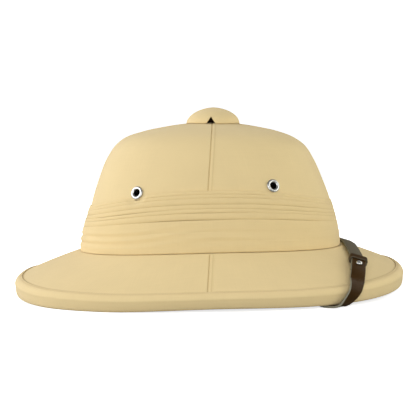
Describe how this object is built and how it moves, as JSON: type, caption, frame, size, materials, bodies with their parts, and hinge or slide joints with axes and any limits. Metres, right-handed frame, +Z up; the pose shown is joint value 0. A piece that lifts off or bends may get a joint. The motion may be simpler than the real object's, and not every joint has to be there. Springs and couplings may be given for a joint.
{
  "type": "pith helmet",
  "caption": "Hollow cloth-covered sun helmet with a sloping oval brim, bound lip, pleated band, vent button, metal eyelets and a leather chin strap laid over the front brim.",
  "frame": {"origin": "centre of the helmet's box, on the surface that it rests on", "axes": "+X to the front of the helmet, +Y to the wearer's left, +Z up"},
  "size_m": [0.3406, 0.2812, 0.1616],
  "materials": {
    "cloth": "matt khaki cotton drill",
    "band_cloth": "matt khaki pleated cotton",
    "leather": "smooth dark brown, satin",
    "metal": "nickel plated, polished"
  },
  "bodies": {
    "root": {"crown": "cloth", "brim": "cloth", "edge_binding": "cloth", "pugaree": "band_cloth", "vent_button": "cloth", "vent_stem": "metal", "eyelet_front_left": "metal", "eyelet_front_right": "metal", "eyelet_rear_left": "metal", "eyelet_rear_right": "metal", "strap_front": "leather", "strap_left": "leather", "strap_right": "leather", "keeper_left": "leather", "keeper_right": "leather", "stud_left": "metal", "stud_right": "metal", "anchor_left": "metal", "anchor_right": "metal"}
  },
  "joints": []
}
